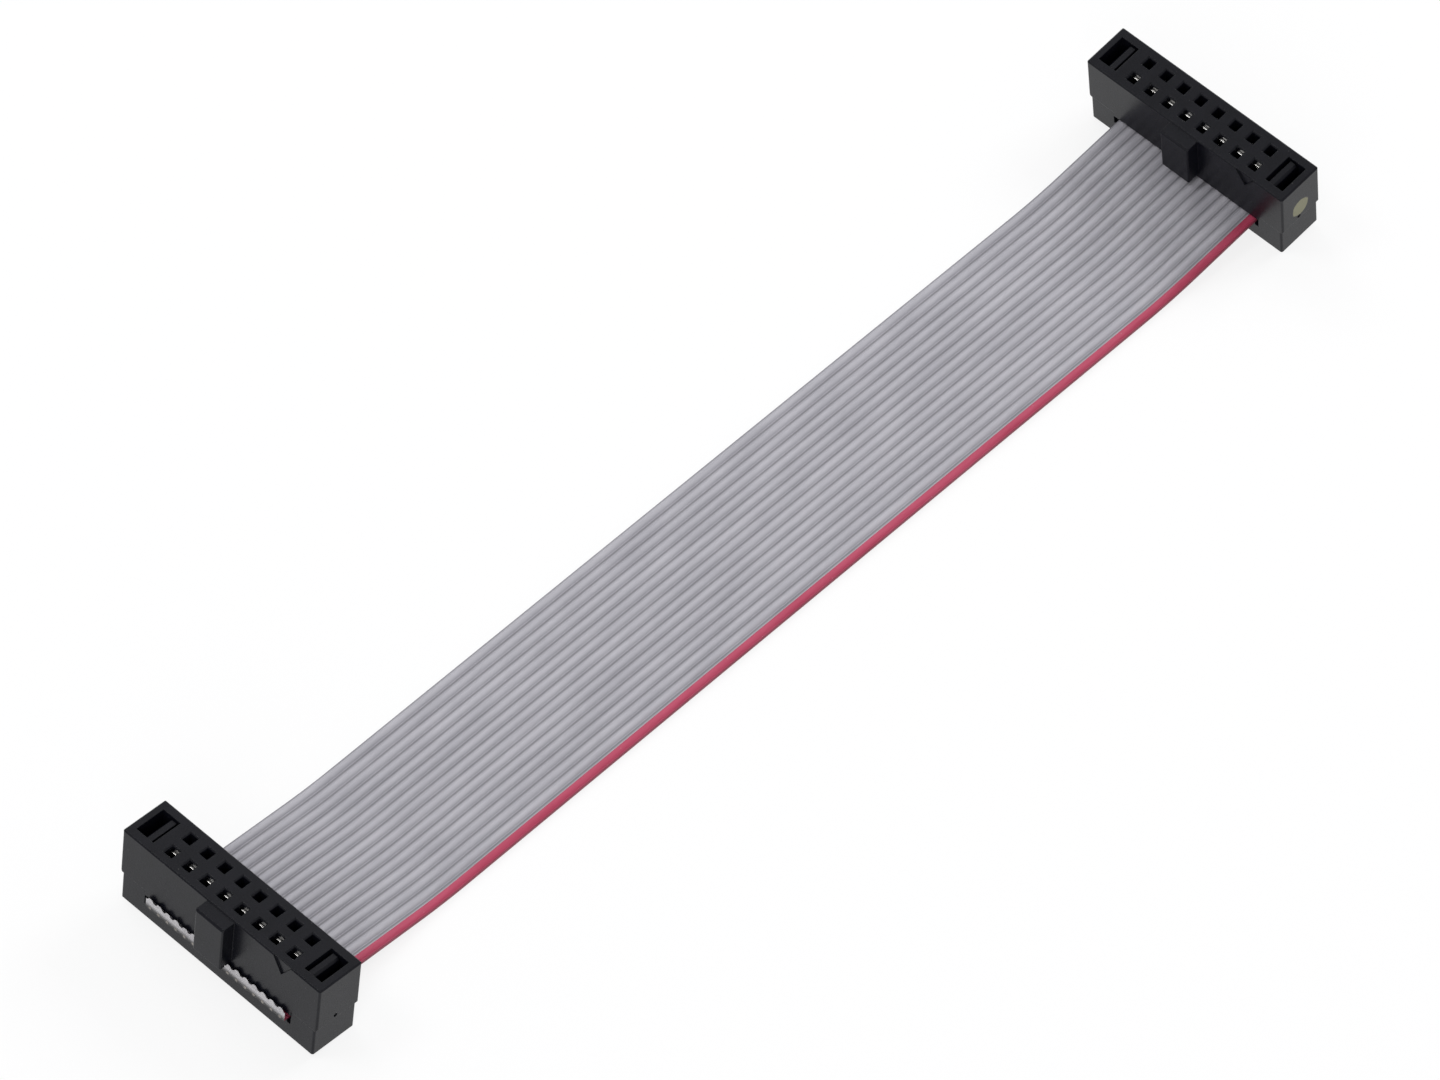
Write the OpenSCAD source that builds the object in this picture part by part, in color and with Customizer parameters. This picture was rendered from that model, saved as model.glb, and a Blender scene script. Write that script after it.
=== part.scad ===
// Flat ribbon cable with a socket connector pressed on each end.
// Frame: X runs along the cable, Y across it with the red edge at -Y, Z is up.
// The ribbon lies on the ground and both connectors lean inwards on their inner bottom edges.

/* [Contact grid] */
// Distance between neighbouring contacts, which is twice the wire pitch
pitch = 2.54; // [2.5:0.01:2.6]
// Contacts in each of the two rows
columns = 8; // [5:1:10]

/* [Ribbon] */
// Length of ribbon between the two connectors
free_length = 142.5; // [100:0.5:400]
// Outer diameter of the insulation round each wire
wire_d = 0.95; // [0.85:0.01:1]
// Thickness of the web that joins neighbouring wires
web_t = 0.36; // [0.25:0.01:0.4]
// Diameter of each bare conductor
core_d = 0.38; // [0.3:0.01:0.4]
// How far each cut end stands out of the connector's outer face
cut_out = 0.35; // [0.1:0.05:0.6]
// Radius of the gentle bends where the ribbon comes down to the ground
bend_r = 60; // [30:1:80]

/* [Lean of the connectors] */
// Lean of the near connector towards the far one, in degrees
near_lean = 6.5; // [5:0.5:9.5]
// Lean of the far connector towards the near one, in degrees
far_lean = 8; // [5:0.5:9.5]

/* [Housing] */
// Thickness of the connector along the cable
body_d = 6; // [5.8:0.1:7]
// Height from the base to the mating face
body_h = 10.4; // [10:0.1:12]
// Wall between the latch slot and the end of the housing
end_wall = 0.85; // [0.6:0.05:1.5]
// Height of the joint between housing and cover at the ends
joint_z = 3.9; // [3.7:0.05:4.2]
// Rounding of the upright corners
corner_r = 0.25; // [0.1:0.05:0.5]
// Chamfer round the mating face
face_chamfer = 0.15; // [0.05:0.05:0.3]
// Chamfer under the ends of the housing
step_chamfer = 0.3; // [0.1:0.05:0.4]
// Chamfer over the ribbon where it leaves the housing
window_flare = 0.35; // [0.1:0.05:0.5]

/* [Contact openings] */
// Width of the pin opening along the row
mouth_y = 1.05; // [0.95:0.05:1.2]
// Width of the pin opening across the rows
mouth_x = 1.2; // [1.1:0.05:1.3]
// Depth of the narrow mouth below the mating face
mouth_depth = 1.2; // [0.8:0.1:1.6]
// Chamfer that leads the pin in
lead_in = 0.15; // [0.05:0.05:0.3]
// Height of the stop that the contact's shoulders meet
shoulder_z = 4.3; // [4.1:0.05:4.6]

/* [Polarising key] */
// Width of the key
key_w = 4; // [3:0.1:5]
// How far the key stands out of the face
key_out = 1.65; // [1:0.05:2]
// Height of the key's lower end above the base
key_foot = 4; // [3.95:0.05:5]
// Distance from the mating face down to the key's top
key_drop = 0.2; // [0.15:0.05:1]
// Lead-in chamfer on the key's outer top edge
key_chamfer = 0.25; // [0.1:0.05:0.5]
// Rounding of the key's outer corners
key_r = 0.2; // [0.1:0.05:0.4]

/* [First contact mark] */
// Width of the triangle at the mating face
mark_w = 2.6; // [2:0.1:3.4]
// Height of the triangle
mark_h = 2; // [1:0.1:3]
// Depth of the triangle's recess
mark_depth = 0.2; // [0.1:0.05:0.5]
// Diameter of the moulding gate's pit on the end face
gate_d = 0.5; // [0.3:0.05:0.8]
// Depth of the moulding gate's pit
gate_depth = 0.15; // [0.05:0.05:0.3]
// Height of the gate's pit above the joint
gate_rise = 0.75; // [0.7:0.05:1.5]
// Offset of the gate's pit from the middle of the end face
gate_x = -0.35; // [-1:0.05:1]

/* [Cover] */
// Thickness of the cover along the cable
cover_d = 5.9; // [5.7:0.05:6]
// How much shorter the cover is than the housing at each end
cover_step = 0.3; // [0.1:0.05:0.5]
// Thickness of the cover under the ribbon
cover_floor = 1.9; // [1.7:0.05:1.9]
// Gap between the ribbon's edge and the cover's end post
edge_gap = 0.54; // [0.3:0.02:0.8]
// Thickness of each latch arm
arm_t = 0.9; // [0.7:0.05:1]
// Width of each latch arm across the connector
arm_w = 3.6; // [3:0.1:4]
// Distance from the mating face down to the top of the arm
arm_drop = 0.3; // [0.1:0.05:0.6]
// Gap outside each arm, in which it springs
arm_spring_gap = 1.2; // [0.8:0.05:1.4]
// How far the latch hook stands out of the arm
hook_out = 0.32; // [0.2:0.02:0.36]
// Distance from the mating face down to the ledge that the hook grips
ledge_drop = 3; // [2.4:0.1:3.5]

/* [Contacts] */
// Thickness of the contact strip
strip_t = 0.25; // [0.2:0.01:0.3]
// Distance of the contact blades from the connector's middle plane
blade_x = 0.65; // [0.6:0.01:0.7]
// Width of the spring beam
beam_w = 0.9; // [0.7:0.05:0.95]
// How far the beam bows towards the pin
bow = 0.33; // [0.25:0.01:0.35]
// How far the beam's tip springs back from the bow
tip_back = 0.16; // [0.1:0.01:0.16]
// Distance from the mating face down to the beam's contact point
bow_drop = 1.9; // [1.6:0.1:2.4]
// Distance from the mating face down to the beam's tip
tip_drop = 0.7; // [0.4:0.05:0.9]
// Width of the fork that grips the wire
fork_w = 1.1; // [1:0.02:1.14]
// How far the fork's points reach below the wire's centre
fork_reach = 1.15; // [1:0.05:1.2]

/* [Hidden] */
$fn = 48;
fit = 0.05;
slip = 0.02;
wire_clear = 0.01;
cut = 1;
circuits = 2 * columns;
wire_pitch = pitch / 2;
ribbon_w = circuits * wire_pitch;
window_w = ribbon_w + 2 * edge_gap;

// Heights inside a connector, from the base of its cover
rib_top = cover_floor + 0.3;
wire_z = rib_top + web_t / 2 + slip;
roof_z = wire_z + wire_d / 2 + slip;
wedge_z = wire_z - fork_reach;

// Latch arm and its slot, measured from the connector's middle
arm_gap = 0.1;
post_land = 0.6;
slot_in = window_w / 2 + post_land;
arm_in = slot_in + arm_gap;
slot_out = arm_in + arm_t + arm_spring_gap;
body_l = 2 * (slot_out + end_wall);
slot_w = arm_w + 0.26;
ledge_depth = hook_out - arm_gap + 0.08;
ledge_z = body_h - ledge_drop;
hook_h = 1.1;
arm_lead = 0.25;

// Contact details
plate_in = 0.72;
plate_out = wire_pitch / 2 + 0.65;
plate_z = roof_z + fit;
bow_z = body_h - bow_drop;
tip_z = body_h - tip_drop;
sweep_z = shoulder_z + 0.9;
beam_steps = 10;
slot_r = core_d / 2 + wire_clear;
cavity_back = 0.075;
tine_point = 0.35;

// Route of the ribbon, in the plane through the cable's middle
level_z = wire_d / 2;
face_lip = (body_d - cover_d) / 2;
bend_steps = 2;
lap = 0.03;
function total(values) = values * [for (v = values) 1];
function step_length(lean) = bend_r * lean * PI / 180 / bend_steps;
function step_leans(lean) = [for (i = [1 : bend_steps - 1]) lean * i / bend_steps];
function bend_drop(lean) = step_length(lean) * total([for (a = step_leans(lean)) sin(a)]);
function bend_reach(lean) = step_length(lean) * total([for (a = step_leans(lean)) cos(a)]);
function slope_run(lean) = (wire_z * cos(lean) - level_z - bend_drop(lean)) / sin(lean);
function bent_length(lean) = slope_run(lean) - face_lip + (bend_steps - 1) * step_length(lean);
function lean_reach(lean) = wire_z * sin(lean) + slope_run(lean) * cos(lean) + bend_reach(lean);
function inner_run(lean) = cut_out + (body_d + cover_d) / 2 + slope_run(lean);
level_length = free_length - bent_length(near_lean) - bent_length(far_lean);
span = lean_reach(near_lean) + level_length + lean_reach(far_lean);

// Places of the two inner bottom edges, with the whole cable centred on X
outer_reach = (body_d + cover_d) / 2;
cut_low_z = wire_z - wire_d / 2;
low_x = key_foot * sin(near_lean) - (outer_reach + key_out) * cos(near_lean);
cut_x = (outer_reach + cut_out) * cos(far_lean) - cut_low_z * sin(far_lean);
high_x = span + max(cut_x, cover_d * cos(far_lean));
near_x = -(low_x + high_x) / 2;
far_x = near_x + span;

// Headings and lengths of the route's stretches, and the corners between them
headings = concat(
    [for (i = [0 : bend_steps - 1]) -near_lean * (bend_steps - i) / bend_steps],
    [for (i = [0 : bend_steps]) far_lean * i / bend_steps]
);
lengths = concat(
    [inner_run(near_lean)],
    [for (i = [2 : bend_steps]) step_length(near_lean)],
    [level_length],
    [for (i = [2 : bend_steps]) step_length(far_lean)],
    [inner_run(far_lean)]
);
function turn(i) = headings[i + 1] - headings[i];

black = "#2b2b2f";
grey = "#a6a6ad";
red = "#b23f5c";
tinned = "#cfcabf";
copper = "#c98f6b";

numbers = [for (n = [1 : circuits]) str(n < 10 ? "0" : "", n)];

// The row of a circuit: odd numbers lie on the key's side
function side(n) = n % 2 == 1 ? -1 : 1;
function column_y(n) = (ceil(n / 2) - (columns + 1) / 2) * pitch;
function wire_y(n) = column_y(n) + side(n) * wire_pitch / 2;

module in_near() {
    translate([near_x, 0, 0])
        rotate([0, near_lean, 0])
            translate([-cover_d / 2, 0, 0])
                children();
}

module in_far() {
    translate([far_x, 0, 0])
        rotate([0, -far_lean, 0])
            translate([cover_d / 2, 0, 0])
                children();
}

// Puts a shape drawn for an even circuit at circuit n
module at_circuit(n) {
    translate([0, column_y(n), 0])
        rotate([0, 0, side(n) < 0 ? 180 : 0])
            children();
}

// A box from its low corner to its high corner
module block(low, high) {
    translate(low)
        cube(high - low);
}

module rounded_rectangle(w, l, r) {
    square([w - 2 * r, l], center = true);
    square([w, l - 2 * r], center = true);
    for (sx = [-1, 1], sy = [-1, 1])
        translate([sx * (w / 2 - r), sy * (l / 2 - r)])
            circle(r);
}

// Extrudes an outline drawn in Y and Z, centred on X
module across(depth) {
    translate([-depth / 2, 0, 0])
        rotate([90, 0, 90])
            linear_extrude(depth)
                children();
}

// Extrudes an outline drawn in X and Z, centred on Y
module along_row(length) {
    translate([0, length / 2, 0])
        rotate([90, 0, 0])
            linear_extrude(length)
                children();
}

// Housing outline from the side of the row, with the block that closes over the ribbon
module housing_front() {
    end = body_l / 2;
    inner = window_w / 2 - fit;
    polygon([
        [-end, joint_z + step_chamfer],
        [-end + step_chamfer, joint_z],
        [-inner, joint_z],
        [-inner, roof_z],
        [inner, roof_z],
        [inner, joint_z],
        [end - step_chamfer, joint_z],
        [end, joint_z + step_chamfer],
        [end, body_h - face_chamfer],
        [end - face_chamfer, body_h],
        [-end + face_chamfer, body_h],
        [-end, body_h - face_chamfer]
    ]);
}

module housing_end() {
    side_x = body_d / 2;
    polygon([
        [-side_x, 0],
        [side_x, 0],
        [side_x, body_h - face_chamfer],
        [side_x - face_chamfer, body_h],
        [-side_x + face_chamfer, body_h],
        [-side_x, body_h - face_chamfer]
    ]);
}

module key() {
    inside = 1;
    outer = body_d / 2 + key_out;
    top = body_h - key_drop;
    intersection() {
        translate([-outer + (key_out + inside) / 2, 0, 0])
            linear_extrude(body_h)
                rounded_rectangle(key_out + inside, key_w, key_r);
        along_row(key_w)
            polygon([
                [-outer, key_foot],
                [-outer + key_out + inside - key_r, key_foot],
                [-outer + key_out + inside - key_r, top],
                [-outer + key_chamfer, top],
                [-outer, top - key_chamfer]
            ]);
    }
}

// A tapered mouth with flat sides, wide at the mating face
module lead_in_cut() {
    x = mouth_x / 2;
    y = mouth_y / 2;
    over = 0.1;
    translate([pitch / 2, 0, body_h - lead_in])
        intersection() {
            along_row(4 * y)
                polygon([
                    [-x, 0],
                    [x, 0],
                    [x + lead_in + over, lead_in + over],
                    [-x - lead_in - over, lead_in + over]
                ]);
            across(4 * x)
                polygon([
                    [-y, 0],
                    [y, 0],
                    [y + lead_in + over, lead_in + over],
                    [-y - lead_in - over, lead_in + over]
                ]);
        }
}

// Room for one contact: the slot of its plate, the cavity of its beam and the pin's mouth
module contact_cavity() {
    back = blade_x - strip_t / 2;
    beam_room = beam_w / 2 + slip;
    low = roof_z - cut;
    mouth_far = pitch / 2 + mouth_x / 2;
    block([back - slip, -plate_in - slip, low], [back + strip_t + slip, plate_out + slip, shoulder_z]);
    block([back - slip, -beam_room, low], [back + strip_t + bow + slip, beam_room, shoulder_z + cut / 2]);
    block([back - cavity_back, -mouth_y / 2, shoulder_z], [mouth_far, mouth_y / 2, body_h - mouth_depth]);
    block(
        [mouth_far - mouth_x, -mouth_y / 2, body_h - mouth_depth - cut / 2],
        [mouth_far, mouth_y / 2, body_h + cut]
    );
    lead_in_cut();
}

// The slot at the +Y end that takes the cover's latch arm
module latch_slot() {
    half = slot_w / 2;
    block([-half, slot_in, joint_z - cut], [half, slot_out, body_h + cut]);
    block([-half, slot_in - ledge_depth, ledge_z], [half, slot_in + fit, body_h + cut]);
}

module first_contact_mark() {
    top = body_h - face_chamfer / 2;
    translate([-body_d / 2 - cut + mark_depth / 2 + cut / 2, column_y(1), 0])
        across(cut + mark_depth)
            polygon([[-mark_w / 2, top], [0, top - mark_h], [mark_w / 2, top]]);
}

module gate_pit() {
    translate([gate_x, -body_l / 2 - cut, joint_z + gate_rise])
        rotate([-90, 0, 0])
            cylinder(h = cut + gate_depth, d = gate_d);
}

// Widens the ribbon's window at the faces
module window_flares() {
    reach = window_flare + cut;
    for (s = [-1, 1])
        along_row(window_w - 2 * fit)
            polygon([
                [s * (body_d / 2 - window_flare), roof_z],
                [s * (body_d / 2 + cut), roof_z + reach],
                [s * (body_d / 2 + cut), roof_z - cut],
                [s * (body_d / 2 - window_flare), roof_z - cut]
            ]);
}

module housing() {
    difference() {
        union() {
            intersection() {
                across(body_d)
                    housing_front();
                along_row(body_l)
                    housing_end();
                linear_extrude(body_h)
                    rounded_rectangle(body_d, body_l, corner_r);
            }
            key();
        }
        for (n = [1 : circuits])
            at_circuit(n)
                contact_cavity();
        latch_slot();
        mirror([0, 1, 0])
            latch_slot();
        first_contact_mark();
        gate_pit();
        window_flares();
    }
}

// Cover outline from the side of the row: the bar under the ribbon and its two end posts
module cover_front() {
    end = body_l / 2 - cover_step;
    post = window_w / 2;
    ribs = ribbon_w / 2;
    top = joint_z - fit;
    polygon([
        [-end, 0],
        [end, 0],
        [end, top],
        [post, top],
        [post, cover_floor],
        [ribs, cover_floor],
        [ribs, rib_top],
        [-ribs, rib_top],
        [-ribs, cover_floor],
        [-post, cover_floor],
        [-post, top],
        [-end, top]
    ]);
}

// The latch arm at the +Y end, with the hook that grips the housing's ledge
module latch_arm() {
    top = body_h - arm_drop;
    hook_z = ledge_z + fit;
    across(arm_w)
        polygon([
            [arm_in, cover_floor],
            [arm_in + arm_t, cover_floor],
            [arm_in + arm_t, top - arm_lead],
            [arm_in + arm_t - arm_lead, top],
            [arm_in, top],
            [arm_in, hook_z + hook_h],
            [arm_in - hook_out, hook_z + hook_h / 3],
            [arm_in - hook_out, hook_z],
            [arm_in, hook_z]
        ]);
}

// Clearance under the ribbon for the points of one fork
module fork_pocket() {
    room = 0.08;
    reach = fork_w / 2 + room;
    block(
        [blade_x - strip_t / 2 - room, wire_pitch / 2 - reach, wedge_z - 2 * room],
        [blade_x + strip_t / 2 + room, wire_pitch / 2 + reach, rib_top + cut]
    );
}

module cover() {
    difference() {
        union() {
            intersection() {
                across(cover_d)
                    cover_front();
                linear_extrude(joint_z)
                    rounded_rectangle(cover_d, body_l - 2 * cover_step, corner_r);
            }
            latch_arm();
            mirror([0, 1, 0])
                latch_arm();
        }
        for (n = [1 : circuits]) {
            translate([-body_d, wire_y(n), wire_z])
                rotate([0, 90, 0])
                    cylinder(h = 2 * body_d, r = wire_d / 2 + slip);
            at_circuit(n)
                fork_pocket();
        }
    }
}

// The plate and fork of a contact, cut from flat strip
module contact_plate() {
    y = wire_pitch / 2;
    w = fork_w / 2;
    difference() {
        union() {
            translate([-plate_in, plate_z])
                square([plate_in + plate_out, shoulder_z - plate_z]);
            polygon([
                [y - w, plate_z + fit],
                [y - w, wedge_z + tine_point],
                [y - (w + slot_r) / 2, wedge_z],
                [y - slot_r, wedge_z + tine_point / 2],
                [y + slot_r, wedge_z + tine_point / 2],
                [y + (w + slot_r) / 2, wedge_z],
                [y + w, wedge_z + tine_point],
                [y + w, plate_z + fit]
            ]);
        }
        translate([y - slot_r, wedge_z - cut])
            square([2 * slot_r, fork_reach + cut]);
        translate([y, wire_z])
            circle(slot_r);
    }
}

// Centre line of the spring beam: up the blade, out to the pin, and back at the tip
function sweep_x(z) = z < bow_z
    ? blade_x + bow * (1 - cos(180 * (z - sweep_z) / (bow_z - sweep_z))) / 2
    : blade_x + bow - tip_back * (1 - cos(90 * (z - bow_z) / (tip_z - bow_z)));

module contact_beam() {
    heights = concat(
        [for (i = [0 : beam_steps]) sweep_z + (bow_z - sweep_z) * i / beam_steps],
        [for (i = [1 : beam_steps / 2]) bow_z + (tip_z - bow_z) * 2 * i / beam_steps]
    );
    root = plate_z + fit;
    last = len(heights) - 1;
    along_row(beam_w)
        polygon(concat(
            [[blade_x - strip_t / 2, root]],
            [for (z = heights) [sweep_x(z) - strip_t / 2, z]],
            [for (i = [0 : last]) [sweep_x(heights[last - i]) + strip_t / 2, heights[last - i]]],
            [[blade_x + strip_t / 2, root]]
        ));
}

module contact() {
    translate([blade_x, 0, 0])
        across(strip_t)
            contact_plate();
    contact_beam();
}

// One straight stretch along +X of a section drawn with X as thickness and Y as width.
// Each end is mitred to half of the upward turn that it makes with its neighbour, and laps over it.
module stretch(length, turn_before, turn_after) {
    over = wire_d;
    before = over * tan(turn_before / 2);
    after = over * tan(turn_after / 2);
    low = turn_before > 0 ? -lap : 0;
    high = length + (turn_after > 0 ? lap : 0);
    intersection() {
        translate([-over, 0, 0])
            rotate([0, 90, 0])
                linear_extrude(length + 2 * over)
                    children();
        along_row(ribbon_w + 2 * over)
            polygon([[low - before, -over], [high + after, -over], [high - after, over], [low + before, over]]);
    }
}

// The route from stretch i on, each stretch in the frame of the one before it
module route(i) {
    last = len(lengths) - 1;
    stretch(lengths[i], i > 0 ? turn(i - 1) : 0, i < last ? turn(i) : 0)
        children();
    if (i < last)
        translate([lengths[i], 0, 0])
            rotate([0, -turn(i), 0])
                route(i + 1)
                    children();
}

// Sweeps a section along the whole ribbon, from the near cut end to the far one
module ribbon_sweep() {
    in_near()
        translate([-body_d / 2 - cut_out, 0, wire_z])
            route(0)
                children();
}

// Section of the insulation from one wire to another, with a web between two edges
module insulation_section(first, last, low_y, high_y) {
    difference() {
        union() {
            for (n = [first : last])
                translate([0, wire_y(n)])
                    circle(d = wire_d);
            translate([-web_t / 2, low_y])
                square([web_t, high_y - low_y]);
        }
        for (n = [first : last])
            translate([0, wire_y(n)])
                circle(d = core_d + 2 * wire_clear);
    }
}

// The slits that the forks of one connector cut through the insulation
module fork_slits(first, last) {
    reach = fork_w / 2 + slip;
    for (n = [first : last])
        at_circuit(n)
            block(
                [blade_x - strip_t / 2 - slip, wire_pitch / 2 - reach, wire_z - wire_d],
                [blade_x + strip_t / 2 + slip, wire_pitch / 2 + reach, wire_z + wire_d]
            );
}

module insulation(first, last, low_y, high_y) {
    difference() {
        ribbon_sweep()
            insulation_section(first, last, low_y, high_y);
        in_near()
            fork_slits(first, last);
        in_far()
            fork_slits(first, last);
    }
}

module wire_core(n) {
    color(copper)
        ribbon_sweep()
            translate([0, wire_y(n)])
                circle(d = core_d);
}

// The bond between the red edge wire and the grey ones
red_edge_y = wire_y(1) + wire_pitch / 2;

module near_housing() color(black) in_near() housing();
module near_cover() color(black) in_near() cover();
module far_housing() color(black) in_far() housing();
module far_cover() color(black) in_far() cover();
module near_contact(n) color(tinned) in_near() at_circuit(n) contact();
module far_contact(n) color(tinned) in_far() at_circuit(n) contact();
module red_edge_insulation() color(red) insulation(1, 1, -ribbon_w / 2, red_edge_y);
module grey_insulation() color(grey) insulation(2, circuits, red_edge_y, ribbon_w / 2);

near_housing();
near_cover();
far_housing();
far_cover();
grey_insulation();
red_edge_insulation();
for (n = [1 : circuits]) {
    near_contact(n);
    far_contact(n);
    wire_core(n);
}
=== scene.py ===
import math
import random

import bmesh
import bpy
from mathutils import Matrix, Vector


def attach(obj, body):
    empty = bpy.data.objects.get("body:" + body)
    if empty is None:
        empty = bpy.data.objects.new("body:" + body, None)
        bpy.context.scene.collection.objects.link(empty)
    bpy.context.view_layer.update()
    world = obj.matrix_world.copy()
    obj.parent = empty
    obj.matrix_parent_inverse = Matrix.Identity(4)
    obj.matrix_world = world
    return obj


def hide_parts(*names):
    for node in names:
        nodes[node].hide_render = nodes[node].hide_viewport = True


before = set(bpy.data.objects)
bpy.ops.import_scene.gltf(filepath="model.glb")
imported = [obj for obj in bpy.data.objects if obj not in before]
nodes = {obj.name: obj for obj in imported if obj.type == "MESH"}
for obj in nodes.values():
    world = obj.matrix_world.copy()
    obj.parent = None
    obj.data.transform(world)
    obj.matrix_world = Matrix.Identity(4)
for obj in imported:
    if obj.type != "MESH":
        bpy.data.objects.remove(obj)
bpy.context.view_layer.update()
mm = 0.001


# The cable's sizes, in millimetres and degrees, as the solids have them

cable = {
    "freeLength": 142.5,  # ribbon between the two connectors
    "wirePitch": 1.27,
    "circuits": 16,
    "wireDiameter": 0.95,
    "webThickness": 0.36,
    "wireHeight": 2.4,  # middle of the wires above a connector's bottom
    "bodyDepth": 6.0,
    "coverDepth": 5.9,
    "bodyLength": 28.7,
    "cutOut": 0.35,  # the cut ends stand this far out of the housing
    "bendRadius": 60.0,
    "nearLean": 6.5,
    "farLean": 8.0,
    "keyFoot": 4.0,  # height of the key's lower end
    "keyOut": 1.65,  # the key stands this far out of the housing
}


def bendStep(lean):  # the solid ribbon turns in two kinks, this far apart
    return cable["bendRadius"] * math.radians(lean) / 2


def slopeRun(lean):  # sloping ribbon from a cover's inner face to the first kink
    a = math.radians(lean)
    level = cable["wireDiameter"] / 2
    drop = bendStep(lean) * math.sin(a / 2)
    return (cable["wireHeight"] * math.cos(a) - level - drop) / math.sin(a)


def leanReach(lean):  # along the ground, from a connector's inner edge to the level ribbon
    a = math.radians(lean)
    slope = slopeRun(lean) * math.cos(a) + bendStep(lean) * math.cos(a / 2)
    return cable["wireHeight"] * math.sin(a) + slope


def placeConnectors():  # both inner edges and the level length, with the cable's box centred
    near, far = math.radians(cable["nearLean"]), math.radians(cable["farLean"])
    lip = (cable["bodyDepth"] - cable["coverDepth"]) / 2
    bent = sum(slopeRun(cable[k]) - lip + bendStep(cable[k]) for k in ("nearLean", "farLean"))
    level = cable["freeLength"] - bent
    span = leanReach(cable["nearLean"]) + level + leanReach(cable["farLean"])
    outer = (cable["bodyDepth"] + cable["coverDepth"]) / 2
    low = cable["keyFoot"] * math.sin(near) - (outer + cable["keyOut"]) * math.cos(near)
    cutBottom = cable["wireHeight"] - cable["wireDiameter"] / 2
    cutEnd = (outer + cable["cutOut"]) * math.cos(far) - cutBottom * math.sin(far)
    high = span + max(cutEnd, cable["coverDepth"] * math.cos(far))
    return -(low + high) / 2, -(low + high) / 2 + span, level


nearX, farX, levelLength = placeConnectors()


def nearPoint(x, y, z):  # from the near connector's own axes, in millimetres, to the frame, in metres
    a = math.radians(cable["nearLean"])
    x -= cable["coverDepth"] / 2
    return Vector((nearX + x * math.cos(a) + z * math.sin(a), y, z * math.cos(a) - x * math.sin(a))) * mm


def farPoint(x, y, z):
    a = math.radians(cable["farLean"])
    x += cable["coverDepth"] / 2
    return Vector((farX + x * math.cos(a) - z * math.sin(a), y, z * math.cos(a) + x * math.sin(a))) * mm


print("connectors at", round(nearX, 3), round(farX, 3))


# Camera, at the photograph's angle

cameraSetup = {
    "azimuth": -47.496,
    "elevation": 52.636,
    "roll": 1.690,
    "distance": 0.84975,  # metres
    "focalPixels": 8000.0,
    "imageWidth": 1440.0,  # pixels
    "sensorWidth": 36.0,
    "clipStart": 0.01,
    "clipEnd": 20.0,
    "aimAlong": 72.039,  # millimetres from the near connector's middle
    "aimAcross": 0.934,
    "aimHeight": 2.523,
}


def makeCamera():
    s = cameraSetup
    a, e, r = (math.radians(s[k]) for k in ("azimuth", "elevation", "roll"))
    forward = Vector((-math.sin(a) * math.cos(e), math.cos(a) * math.cos(e), -math.sin(e)))
    level = Vector((math.cos(a), math.sin(a), 0))
    upright = level.cross(forward)
    right = level * math.cos(r) + upright * math.sin(r)
    up = upright * math.cos(r) - level * math.sin(r)
    aim = nearPoint(0, 0, s["aimHeight"]) + Vector((s["aimAlong"], s["aimAcross"], 0)) * mm
    data = bpy.data.cameras.new("photoCamera")
    data.sensor_fit = "HORIZONTAL"
    data.sensor_width = s["sensorWidth"]
    data.lens = s["focalPixels"] / s["imageWidth"] * data.sensor_width
    data.clip_start = s["clipStart"]
    data.clip_end = s["clipEnd"]
    camera = bpy.data.objects.new("photoCamera", data)
    turn = Matrix((right, up, -forward)).transposed().to_4x4()
    camera.matrix_world = Matrix.Translation(aim - forward * s["distance"]) @ turn
    bpy.context.scene.collection.objects.link(camera)
    bpy.context.scene.camera = camera


makeCamera()
print("camera placed")


# Node helpers

def feed(tree, value, socket):  # the value is another node's output, a colour, a vector or a number
    if isinstance(value, bpy.types.NodeSocket):
        tree.links.new(value, socket)
    elif socket.type == "RGBA":
        socket.default_value = (*value, 1.0)
    else:
        socket.default_value = value


def addNode(tree, kind, values=None, **settings):  # inputs go by name, or by number where names repeat
    node = tree.nodes.new(kind)
    for name, value in settings.items():
        setattr(node, name, value)
    for name, value in (values or {}).items():
        feed(tree, value, node.inputs[name])
    return node


def useGroup(tree, group, values):
    return addNode(tree, "ShaderNodeGroup", values, node_tree=group)


def calculate(tree, operation, first, second):
    return addNode(tree, "ShaderNodeMath", {0: first, 1: second}, operation=operation).outputs["Value"]


def remap(tree, source, low, high, fromLow=0.0, fromHigh=1.0):
    ends = {"From Min": fromLow, "From Max": fromHigh, "To Min": low, "To Max": high}
    return addNode(tree, "ShaderNodeMapRange", {"Value": source, **ends}).outputs["Result"]


def blendColours(tree, mask, first, second):
    values = {"Factor": mask, "A": first, "B": second}
    return addNode(tree, "ShaderNodeMix", values, data_type="RGBA").outputs["Result"]


def objectPlace(tree):
    return addNode(tree, "ShaderNodeTexCoord").outputs["Object"]


def objectAxis(tree, axis):
    return addNode(tree, "ShaderNodeSeparateXYZ", {"Vector": objectPlace(tree)}).outputs[axis]


def emptyTree(owner):  # of a material or a world
    owner.use_nodes = True
    owner.node_tree.nodes.clear()
    return owner.node_tree


def newMaterial(name):
    material = bpy.data.materials.new(name)
    tree = emptyTree(material)
    shader = addNode(tree, "ShaderNodeBsdfPrincipled")
    addNode(tree, "ShaderNodeOutputMaterial", {"Surface": shader.outputs["BSDF"]})
    return material, tree, shader


def newGroup(name, inputs, outputs):
    group = bpy.data.node_groups.new(name, "ShaderNodeTree")
    for label, kind in inputs:
        group.interface.new_socket(label, in_out="INPUT", socket_type=kind)
    for label, kind in outputs:
        group.interface.new_socket(label, in_out="OUTPUT", socket_type=kind)
    return group, group.nodes.new("NodeGroupInput"), group.nodes.new("NodeGroupOutput")


# Shared effects

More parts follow.
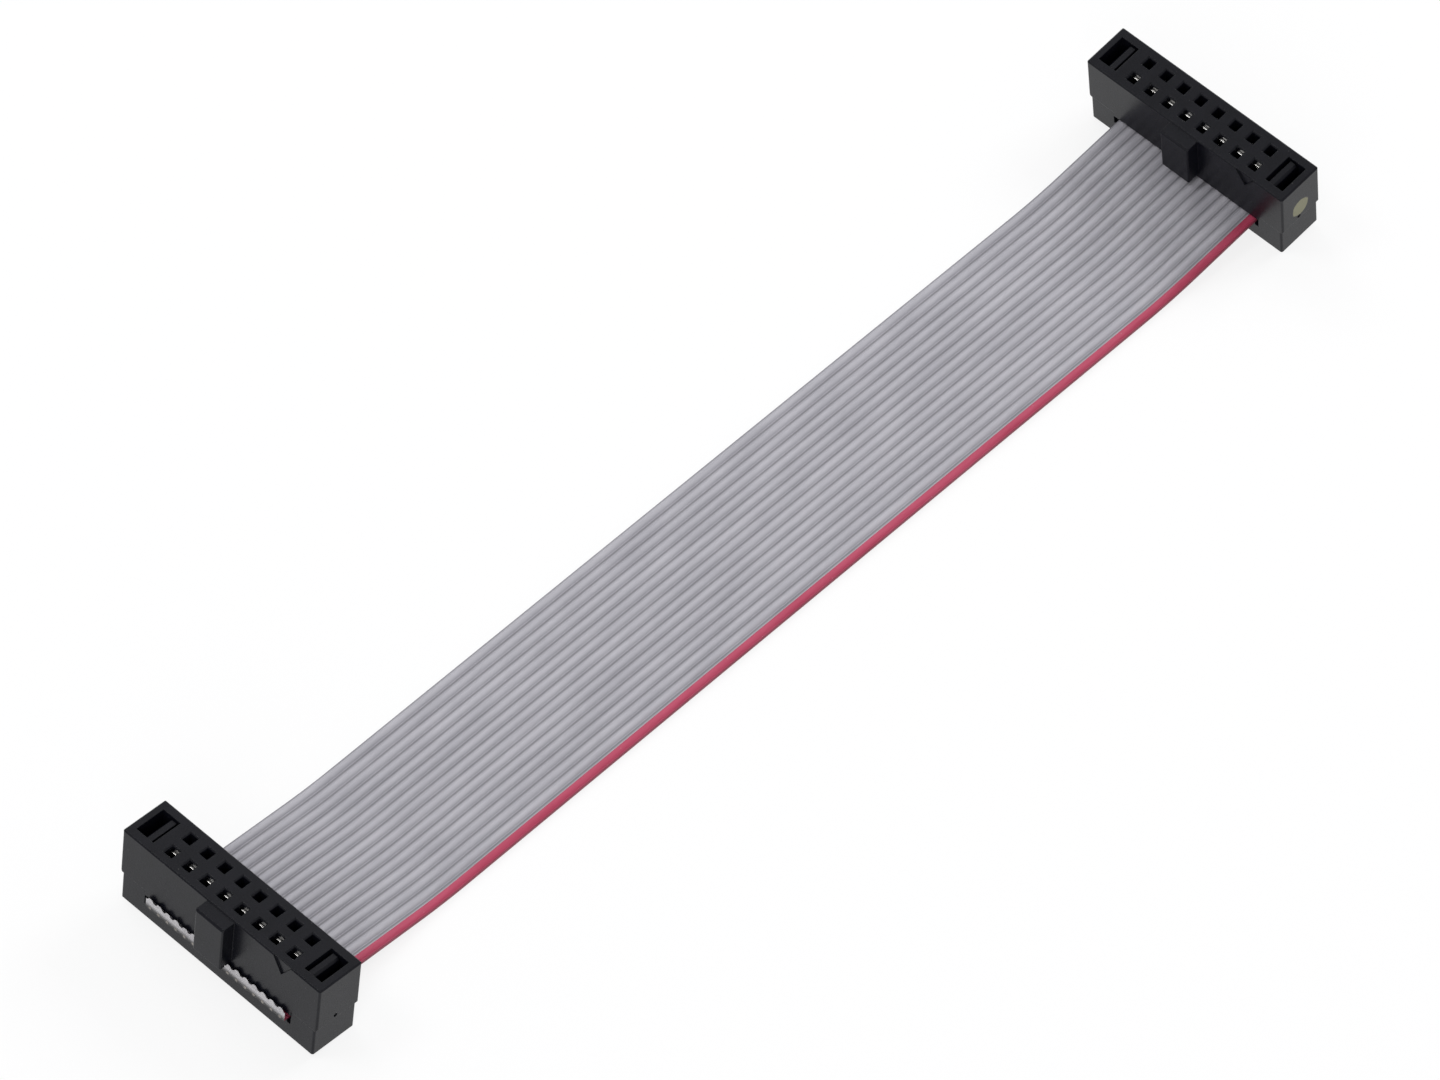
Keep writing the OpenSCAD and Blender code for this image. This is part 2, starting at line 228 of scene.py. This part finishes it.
grainLook = {
    "grain": {"Detail": 4.0, "Roughness": 0.6},
    "cloud": {"Detail": 3.0, "Roughness": 0.55},
    "speckScale": 700.0,
    "speckReach": (0.02, 0.06),  # a speck fades out between these distances from its middle
    "roughSpread": (0.3, 0.7),  # grain values at the low and high ends of a roughness
}

edgeLook = {
    "samples": 6,
    "likeness": (0.75, 0.99),  # of the rounded and the real normal, at a full edge and off the edge
}


def makeGrain():  # fine moulded or extruded texture, cloudy tone and a few specks
    group, source, result = newGroup(
        "surfaceGrain",
        [("Grain Scale", "NodeSocketFloat"), ("Cloud Scale", "NodeSocketFloat"),
         ("Stretch", "NodeSocketVector")],
        [("Grain", "NodeSocketFloat"), ("Cloud", "NodeSocketFloat"), ("Speck", "NodeSocketFloat")],
    )
    place = objectPlace(group)
    factors = {0: place, 1: source.outputs["Stretch"]}
    stretched = addNode(group, "ShaderNodeVectorMath", factors, operation="MULTIPLY").outputs["Vector"]
    for label, scale, shape in (("Grain", "Grain Scale", "grain"), ("Cloud", "Cloud Scale", "cloud")):
        values = {"Vector": stretched, "Scale": source.outputs[scale], **grainLook[shape]}
        noise = addNode(group, "ShaderNodeTexNoise", values)
        feed(group, noise.outputs["Fac"], result.inputs[label])
    speck = addNode(group, "ShaderNodeTexVoronoi", {"Vector": place, "Scale": grainLook["speckScale"]})
    mask = remap(group, speck.outputs["Distance"], 1.0, 0.0, *grainLook["speckReach"])
    feed(group, mask, result.inputs["Speck"])
    return group


def makeSoftEdge():  # rounded edges for the light, and a mask of where they are
    group, source, result = newGroup(
        "softEdge",
        [("Radius", "NodeSocketFloat")],
        [("Normal", "NodeSocketVector"), ("Edge", "NodeSocketFloat")],
    )
    radius = {"Radius": source.outputs["Radius"]}
    rounded = addNode(group, "ShaderNodeBevel", radius, samples=edgeLook["samples"]).outputs["Normal"]
    real = addNode(group, "ShaderNodeNewGeometry").outputs["Normal"]
    likeness = addNode(group, "ShaderNodeVectorMath", {0: rounded, 1: real}, operation="DOT_PRODUCT")
    mask = remap(group, likeness.outputs["Value"], 1.0, 0.0, *edgeLook["likeness"])
    feed(group, rounded, result.inputs["Normal"])
    feed(group, mask, result.inputs["Edge"])
    return group


grainGroup = makeGrain()
edgeGroup = makeSoftEdge()
print("shared node groups made")


# What the materials have in common

def cloudColour(tree, grain, tones, spread):  # from the dark tone to the light one in soft clouds
    mask = remap(tree, grain.outputs["Cloud"], 0.0, 1.0, *spread)
    return blendColours(tree, mask, tones["dark"], tones["light"])


def addDust(tree, grain, colour, look):
    mask = remap(tree, grain.outputs["Speck"], 0.0, look["dustShare"])
    return blendColours(tree, mask, colour, look["dust"])


def grainRough(tree, grain, ends):
    return remap(tree, grain.outputs["Grain"], *ends, *grainLook["roughSpread"])


def grainBump(tree, grain, settings):
    return addNode(tree, "ShaderNodeBump", {"Height": grain.outputs["Grain"], **settings})


def dressShader(tree, shader, colour, rough, bump):
    feed(tree, colour, shader.inputs["Base Color"])
    feed(tree, rough, shader.inputs["Roughness"])
    feed(tree, bump.outputs["Normal"], shader.inputs["Normal"])


# Black plastic of the connectors

blackLook = {
    "dark": (0.0024, 0.0027, 0.0052),
    "light": (0.0040, 0.0043, 0.0075),
    "clouds": (0.35, 0.65),
    "rubbed": (0.0070, 0.0072, 0.0100),
    "rubbedShare": 0.6,
    "dust": (0.12, 0.118, 0.115),
    "dustShare": 0.35,
    "rough": (0.26, 0.38),
    "specular": 0.18,
    "edgeRadius": 0.00010,
    "grain": {"Grain Scale": 7000.0, "Cloud Scale": 420.0, "Stretch": (1.0, 1.0, 1.0)},
    "bump": {"Strength": 0.35, "Distance": 0.000012},
}

dotLook = {
    "colour": (0.225, 0.220, 0.150),
    "rough": 0.62,
    "radius": 0.00125,
    "wobble": 0.0011,
    "wobbleMean": 0.00055,
    "softness": 0.00006,
    "height": 6.2,  # millimetres, in the far connector's axes
    "along": 0.05,
}


def paintDotMask(tree, grain):  # a hand-dabbed dot on the far connector's end face
    look = dotLook
    centre = farPoint(look["along"], -cable["bodyLength"] / 2, look["height"])
    offset = addNode(tree, "ShaderNodeVectorMath", {0: objectPlace(tree), 1: centre}, operation="SUBTRACT")
    length = addNode(tree, "ShaderNodeVectorMath", {0: offset.outputs["Vector"]}, operation="LENGTH")
    wobble = calculate(tree, "MULTIPLY", grain.outputs["Cloud"], look["wobble"])
    reach = calculate(tree, "ADD", length.outputs["Value"], wobble)
    edge = look["radius"] + look["wobbleMean"]
    return remap(tree, reach, 1.0, 0.0, edge - look["softness"], edge + look["softness"])


def makeBlack(name, dotted=False):
    look = blackLook
    material, tree, shader = newMaterial(name)
    shader.inputs["Specular IOR Level"].default_value = look["specular"]
    grain = useGroup(tree, grainGroup, look["grain"])
    edge = useGroup(tree, edgeGroup, {"Radius": look["edgeRadius"]})
    rubbed = remap(tree, edge.outputs["Edge"], 0.0, look["rubbedShare"])
    colour = cloudColour(tree, grain, look, look["clouds"])
    colour = blendColours(tree, rubbed, colour, look["rubbed"])
    colour = addDust(tree, grain, colour, look)
    rough = grainRough(tree, grain, look["rough"])
    if dotted:
        mask = paintDotMask(tree, grain)
        colour = blendColours(tree, mask, colour, dotLook["colour"])
        mixed = addNode(tree, "ShaderNodeMix", {"Factor": mask, "A": rough, "B": dotLook["rough"]})
        rough = mixed.outputs["Result"]
    bump = grainBump(tree, grain, {**look["bump"], "Normal": edge.outputs["Normal"]})
    dressShader(tree, shader, colour, rough, bump)
    return material


# Vinyl of the ribbon

vinylLook = {
    "grey": {"dark": (0.350, 0.344, 0.380), "light": (0.420, 0.412, 0.450)},
    "red": {"dark": (0.385, 0.040, 0.088), "light": (0.450, 0.062, 0.122)},
    # paler tones for painted light on the ribbon next to the cuts
    "white": {"dark": (0.62, 0.605, 0.62), "light": (0.80, 0.785, 0.80)},
    "cut": {"dark": (0.37, 0.36, 0.375), "light": (0.49, 0.48, 0.495)},
    "clouds": (0.3, 0.7),
    "cutShadeDark": 0.08,  # painted shade: tone of the lower part of the cut faces, below the burr
    "cutShadeRise": 0.00060,  # height over which that painted shade fades out
    "dust": (0.55, 0.55, 0.56),
    "dustShare": 0.25,
    "grooveShadeDark": 0.48,  # painted shade: tone of the webs against the ridges
    "grooveShadeSpan": (0.00004, 0.00019),  # from a web's middle, where the painted shade is full and where it has gone
    "rough": (0.46, 0.62),
    "specular": 0.4,
    "grain": {"Grain Scale": 5200.0, "Cloud Scale": 620.0, "Stretch": (0.22, 1.0, 1.0)},
    "bump": {"Strength": 0.5, "Distance": 0.00002},
}


def paintedGrooveShade(tree):  # painted shade in the grooves: 1 on the ridges and darker on the webs, which lie a wire pitch apart
    look = vinylLook
    fromWeb = calculate(tree, "PINGPONG", objectAxis(tree, "Y"), cable["wirePitch"] * mm / 2)
    return remap(tree, fromWeb, look["grooveShadeDark"], 1.0, *look["grooveShadeSpan"])


def paintedCutShade(tree):  # painted shade: the lower part of each cut face is darker
    look = vinylLook
    middle = nearPoint(-cable["bodyDepth"] / 2 - cable["cutOut"], 0, cable["wireHeight"]).z
    return remap(tree, objectAxis(tree, "Z"), look["cutShadeDark"], 1.0, middle, middle + look["cutShadeRise"])


def makeVinyl(name, tones, tone=None):
    look = vinylLook
    material, tree, shader = newMaterial(name)
    shader.inputs["Specular IOR Level"].default_value = look["specular"]
    grain = useGroup(tree, grainGroup, look["grain"])
    colour = cloudColour(tree, grain, tones, look["clouds"])
    colour = addDust(tree, grain, colour, look)
    if tone:
        values = {"Vector": colour, "Scale": tone(tree)}
        colour = addNode(tree, "ShaderNodeVectorMath", values, operation="SCALE").outputs["Vector"]
    rough = grainRough(tree, grain, look["rough"])
    dressShader(tree, shader, colour, rough, grainBump(tree, grain, look["bump"]))
    return material


# Metal of the contacts and conductors

metalLook = {
    "contact": {
        "dark": (0.62, 0.60, 0.57),
        "light": (0.80, 0.79, 0.77),
        "rough": (0.16, 0.24),
        "edgeRadius": 0.00011,
    },
    "conductor": {
        "dark": (0.20, 0.185, 0.17),
        "light": (0.30, 0.28, 0.26),
        "rough": (0.45, 0.60),
        "edgeRadius": 0.00004,
    },
    "clouds": (0.3, 0.7),
    "grain": {"Grain Scale": 9000.0, "Cloud Scale": 900.0, "Stretch": (1.0, 1.0, 0.25)},
    "bump": {"Strength": 0.3, "Distance": 0.00001},
}


def makeMetal(name, tones):
    look = metalLook
    material, tree, shader = newMaterial(name)
    shader.inputs["Metallic"].default_value = 1.0
    grain = useGroup(tree, grainGroup, look["grain"])
    edge = useGroup(tree, edgeGroup, {"Radius": tones["edgeRadius"]})
    colour = cloudColour(tree, grain, tones, look["clouds"])
    rough = grainRough(tree, grain, tones["rough"])
    bump = grainBump(tree, grain, {**look["bump"], "Normal": edge.outputs["Normal"]})
    dressShader(tree, shader, colour, rough, bump)
    return material


blackPlastic = makeBlack("blackPlastic")
dottedPlastic = makeBlack("dottedPlastic", dotted=True)
# the grey and red vinyl carry painted shade on the webs between the wires
greyVinyl = makeVinyl("greyVinyl", vinylLook["grey"], paintedGrooveShade)
redVinyl = makeVinyl("redVinyl", vinylLook["red"], paintedGrooveShade)
# paler vinyl next to the cuts is painted light on the stub tops
paintedLightVinyl = makeVinyl("paintedLightVinyl", vinylLook["white"])
# the cut faces carry painted shade on their lower part
cutVinyl = makeVinyl("cutVinyl", vinylLook["cut"], paintedCutShade)
tinPlate = makeMetal("tinPlate", metalLook["contact"])
tinnedCopper = makeMetal("tinnedCopper", metalLook["conductor"])
print("materials made")


def dress(name, material):
    slots = nodes[name].data.materials
    slots.clear()
    slots.append(material)


for name in nodes:
    if "contact" in name:
        dress(name, tinPlate)
    elif "core" in name:
        dress(name, tinnedCopper)
    elif "insulation" in name:
        dress(name, redVinyl if "red" in name else greyVinyl)
    else:
        dress(name, dottedPlastic if name == "far_housing" else blackPlastic)
print("solids dressed:", len(nodes))


# The ribbon, with its ridges and its red edge wire, in millimetres

ribbonLook = {
    "ridgeSteps": 10,
    "bendSteps": 10,
    "levelSteps": 30,
    "slopeSteps": 5,
    "recess": 0.03,  # the conductors stand this far out of the cut insulation
    "redEdge": 0.30,  # the colour ends this far inside the middle of the edge wire
    "burrRun": 0.75,  # length over which the blade drew up each cut end
    "burrSteps": 6,
    "burrCurve": 3.4,  # the burr grows by this power of the way to the cut
    "burrLift": 0.85,  # rise of the ribbon's upper half at the cut
    "burrUpper": 0.30,  # growth of a ridge's upper half there
    "burrLower": 0.45,  # and shrinking of its lower half
    "burrUneven": 0.12,
    "seed": 5,
    "paintedLightRun": 0.34,  # length next to the cut that gets painted light
    "paintedLightOver": 0.45,  # how far the painted light spreads over the edge wire's red
    "crease": 40.0,  # degrees
    "tolerance": 0.0001,
}


def routeStations():  # (x, z, heading, burr) in millimetres and radians, from one cut end to the other
    look = ribbonLook
    near, far = math.radians(cable["nearLean"]), math.radians(cable["farLean"])
    nearHalf, farHalf = bendStep(cable["nearLean"]) / 2, bendStep(cable["farLean"]) / 2
    outer = (cable["bodyDepth"] + cable["coverDepth"]) / 2
    inside = outer + cable["cutOut"] - look["recess"] - look["burrRun"]
    cutX = -cable["bodyDepth"] / 2 - cable["cutOut"] + look["recess"]
    start = nearPoint(cutX, 0, cable["wireHeight"]) / mm
    x, z, heading = start.x, start.z, -near
    stations = [(x, z, heading, 1.0)]
    runs = [  # length or radius, turn, steps, and the way to the cut at both ends of the run
        (look["burrRun"], 0.0, look["burrSteps"], (1.0, 0.0)),
        (inside + slopeRun(cable["nearLean"]) - nearHalf, 0.0, look["slopeSteps"], (0.0, 0.0)),
        (nearHalf / math.tan(near / 4), near, look["bendSteps"], (0.0, 0.0)),
        (levelLength - nearHalf - farHalf, 0.0, look["levelSteps"], (0.0, 0.0)),
        (farHalf / math.tan(far / 4), far, look["bendSteps"], (0.0, 0.0)),
        (inside + slopeRun(cable["farLean"]) - farHalf, 0.0, look["slopeSteps"], (0.0, 0.0)),
        (look["burrRun"], 0.0, look["burrSteps"], (0.0, 1.0)),
    ]
    for size, turn, steps, (first, last) in runs:
        for step in range(1, steps + 1):
            chord = 2 * size * math.sin(turn / steps / 2) if turn else size / steps
            heading += turn / steps / 2
            x += chord * math.cos(heading)
            z += chord * math.sin(heading)
            heading += turn / steps / 2
            way = first + (last - first) * step / steps
            stations.append((x, z, heading, way ** look["burrCurve"]))
    return stations


def ribbonSection():  # points across the ribbon, along its lower side and back along its upper side
    half = cable["wirePitch"] * cable["circuits"] / 2
    radius, web = cable["wireDiameter"] / 2, cable["webThickness"] / 2
    join = math.asin(web / radius)
    centres = [-half + cable["wirePitch"] * (n + 0.5) for n in range(cable["circuits"])]
    bond = centres[0] + ribbonLook["redEdge"]
    lower = [(-half, -web)]
    for y in centres:
        for i in range(ribbonLook["ridgeSteps"] + 1):
            turn = join + (math.pi - 2 * join) * i / ribbonLook["ridgeSteps"]
            corner = (y - radius * math.cos(turn), -radius * math.sin(turn))
            if lower[-1][0] < bond < corner[0]:
                lower.append((bond, -math.sqrt(radius ** 2 - ribbonLook["redEdge"] ** 2)))
            lower.append(corner)
    lower.append((half, -web))
    return lower + [(y, -v) for y, v in reversed(lower)], bond


def unevenBurrs():  # for each wire, first of the near cut end and then of the far one
    draw = random.Random(ribbonLook["seed"])
    spread = ribbonLook["burrUneven"]
    return [[1 + spread * draw.uniform(-1, 1) for _ in range(cable["circuits"])] for _ in range(2)]


def addRing(mesh, station, outline, uneven):  # the ribbon's section at one station
    look = ribbonLook
    x, z, heading, burr = station
    turn = Matrix.Translation(Vector((x, 0, z)) * mm) @ Matrix.Rotation(-heading, 4, "Y")
    ring = []
    for y, v in outline:
        wire = min(cable["circuits"] - 1, int(y / cable["wirePitch"] + cable["circuits"] / 2))
        ridge = max(0.0, abs(v) - cable["webThickness"] / 2)
        drawn = (look["burrLift"] + ridge * look["burrUpper"]) * uneven[wire]
        raised = v + burr * (drawn if v > 0 else ridge * look["burrLower"])
        ring.append(mesh.verts.new(turn @ Vector((0, y * mm, raised * mm))))
    return ring


def joinRings(mesh, rings, bond):  # the ribbon's sides, and which of their faces get painted light, a paler vinyl, at the cuts
    look = ribbonLook
    count = len(rings[0])
    paintedLightFaces = set()
    for first, second in zip(rings, rings[1:]):
        white = (first[0].co - rings[0][0].co).length < look["paintedLightRun"] * mm
        white = white or (second[0].co - rings[-1][0].co).length < look["paintedLightRun"] * mm
        for i in range(count):
            face = mesh.faces.new((first[i], second[i], second[(i + 1) % count], first[(i + 1) % count]))
            if white and face.calc_center_median().y > (bond - look["paintedLightOver"]) * mm:
                paintedLightFaces.add(face)
    return paintedLightFaces


def partEnd(mesh, face, bond):  # a cut end is parted where the colours meet
    parting = [v for v in face.verts if abs(v.co.y - bond * mm) < ribbonLook["tolerance"] * mm]
    bmesh.ops.connect_verts(mesh, verts=parting)


def faceVinyl(face, paintedLightFaces, bond):
    if face in paintedLightFaces:
        return paintedLightVinyl
    if len(face.verts) > 4:  # only the cut ends have that many corners
        return cutVinyl
    return redVinyl if face.calc_center_median().y < bond * mm else greyVinyl


def makeRibbon():
    vinyls = [greyVinyl, redVinyl, cutVinyl, paintedLightVinyl]
    outline, bond = ribbonSection()
    stations = routeStations()
    nearUneven, farUneven = unevenBurrs()
    mesh = bmesh.new()
    rings = []
    for place, station in enumerate(stations):
        uneven = nearUneven if place < len(stations) / 2 else farUneven
        rings.append(addRing(mesh, station, outline, uneven))
    ends = [mesh.faces.new(rings[0]), mesh.faces.new(reversed(rings[-1]))]
    paintedLightFaces = joinRings(mesh, rings, bond)
    for face in ends:
        partEnd(mesh, face, bond)
    bmesh.ops.recalc_face_normals(mesh, faces=list(mesh.faces))
    for face in mesh.faces:
        face.smooth = True
        face.material_index = vinyls.index(faceVinyl(face, paintedLightFaces, bond))
    for edge in mesh.edges:
        edge.smooth = edge.calc_face_angle(0) < math.radians(ribbonLook["crease"])
    data = bpy.data.meshes.new("flatRibbon")
    mesh.to_mesh(data)
    mesh.free()
    for vinyl in vinyls:
        data.materials.append(vinyl)
    ribbon = bpy.data.objects.new("flatRibbon", data)
    bpy.context.scene.collection.objects.link(ribbon)
    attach(ribbon, "root")
    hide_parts("grey_insulation", "red_edge_insulation")
    return ribbon, stations


ribbon, stations = makeRibbon()
ribbonExit = nearPoint(cable["bodyDepth"] / 2, 0, cable["wireHeight"])
farEntry = farPoint(-cable["bodyDepth"] / 2, 0, cable["wireHeight"])
print("ribbon made:", len(ribbon.data.polygons), "faces")


# Floor, world and lamps, in metres

studio = {
    "floorSize": 8.0,
    "floorDrop": 0.00001,
    "floorColour": (0.86, 0.86, 0.87),
    "floorWhite": 0.82,  # share of plain white where the floor is seen
    "worldLight": 0.58,
    "ceiling": 0.20,  # brightness overhead in reflections
    "ceilingSpan": (0.25, 0.75),  # sine of the height over which it dims
    "lamps": [  # name, place, width and watts
        ("keyLamp", (0.30, 1.0, 0.90), 0.50, 2.4),
        ("backLamp", (1.0, -0.12, 0.72), 0.45, 6.2),
        ("fillLamp", (0.50, 0.49, 0.95), 1.0, 2.0),
        ("rimLamp", (-0.42, 0.45, 0.95), 0.35, 2.5),
        ("frontLamp", (-0.95, -0.6, 0.6), 0.8, 5.2),
    ],
}


def seenMask(tree):  # camera, glossy and transmission rays see the plain background
    path = addNode(tree, "ShaderNodeLightPath")
    mask = path.outputs["Is Camera Ray"]
    for name in ("Is Glossy Ray", "Is Transmission Ray"):
        mask = calculate(tree, "MAXIMUM", mask, path.outputs[name])
    return path, mask


def makeFloorMaterial():
    material = bpy.data.materials.new("paleFloor")
    tree = emptyTree(material)
    matte = addNode(tree, "ShaderNodeBsdfDiffuse", {"Color": studio["floorColour"]})
    glow = addNode(tree, "ShaderNodeEmission", {"Strength": 1.0})
    _, seen = seenMask(tree)
    share = calculate(tree, "MULTIPLY", seen, studio["floorWhite"])
    mixed = addNode(tree, "ShaderNodeMixShader", {0: share, 1: matte.outputs[0], 2: glow.outputs[0]})
    addNode(tree, "ShaderNodeOutputMaterial", {"Surface": mixed.outputs[0]})
    return material


def makeFloor():
    mesh = bmesh.new()
    bmesh.ops.create_grid(mesh, x_segments=1, y_segments=1, size=studio["floorSize"] / 2)
    data = bpy.data.meshes.new("floor")
    mesh.to_mesh(data)
    mesh.free()
    data.materials.append(makeFloorMaterial())
    floor = bpy.data.objects.new("floor", data)
    floor.location.z = -studio["floorDrop"]
    bpy.context.scene.collection.objects.link(floor)


def makeWorld():  # white where it is seen, dim overhead in reflections, soft light for the rest
    world = bpy.data.worlds.new("studio")
    bpy.context.scene.world = world
    tree = emptyTree(world)
    direction = addNode(tree, "ShaderNodeTexCoord").outputs["Generated"]
    height = addNode(tree, "ShaderNodeSeparateXYZ", {"Vector": direction}).outputs["Z"]
    dimmed = remap(tree, height, 1.0, studio["ceiling"], *studio["ceilingSpan"])
    path, seen = seenMask(tree)
    tone = calculate(tree, "MAXIMUM", dimmed, path.outputs["Is Camera Ray"])
    seenSky = addNode(tree, "ShaderNodeBackground", {"Color": tone, "Strength": 1.0})
    lightSky = addNode(tree, "ShaderNodeBackground", {"Strength": studio["worldLight"]})
    mixed = addNode(tree, "ShaderNodeMixShader", {0: seen, 1: lightSky.outputs[0], 2: seenSky.outputs[0]})
    addNode(tree, "ShaderNodeOutputWorld", {"Surface": mixed.outputs[0]})


def makeLamp(name, place, size, power):  # aimed at the origin
    data = bpy.data.lights.new(name, "AREA")
    data.shape = "SQUARE"
    data.size = size
    data.energy = power
    lamp = bpy.data.objects.new(name, data)
    lamp.location = place
    lamp.rotation_mode = "QUATERNION"
    lamp.rotation_quaternion = Vector(place).to_track_quat("Z", "Y")
    bpy.context.scene.collection.objects.link(lamp)


makeFloor()
makeWorld()
for name, place, size, power in studio["lamps"]:
    makeLamp(name, place, size, power)
bpy.context.scene.view_settings.view_transform = "Standard"
print("studio made")
